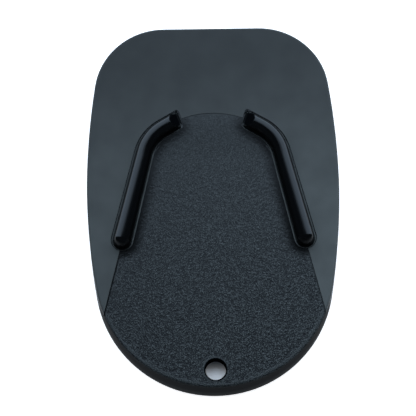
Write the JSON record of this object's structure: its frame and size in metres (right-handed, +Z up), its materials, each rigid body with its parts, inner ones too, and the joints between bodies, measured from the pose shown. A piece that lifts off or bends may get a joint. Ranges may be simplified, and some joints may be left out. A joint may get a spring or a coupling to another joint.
{
  "type": "kickstand pad",
  "caption": "Flat moulded pad with a round nose and two bent ribs that holds a motorbike side stand's foot off soft ground, with a lanyard hole.",
  "frame": {"origin": "middle of the outline, on the ground", "axes": "+X to the pad's right, +Y towards its square back end, +Z up"},
  "size_m": [0.0858, 0.1284, 0.0095],
  "materials": {
    "black_plastic": "satin collar and ribs round a leather-grained tongue"
  },
  "bodies": {
    "root": {"kickstand_pad": "black_plastic"}
  },
  "joints": []
}
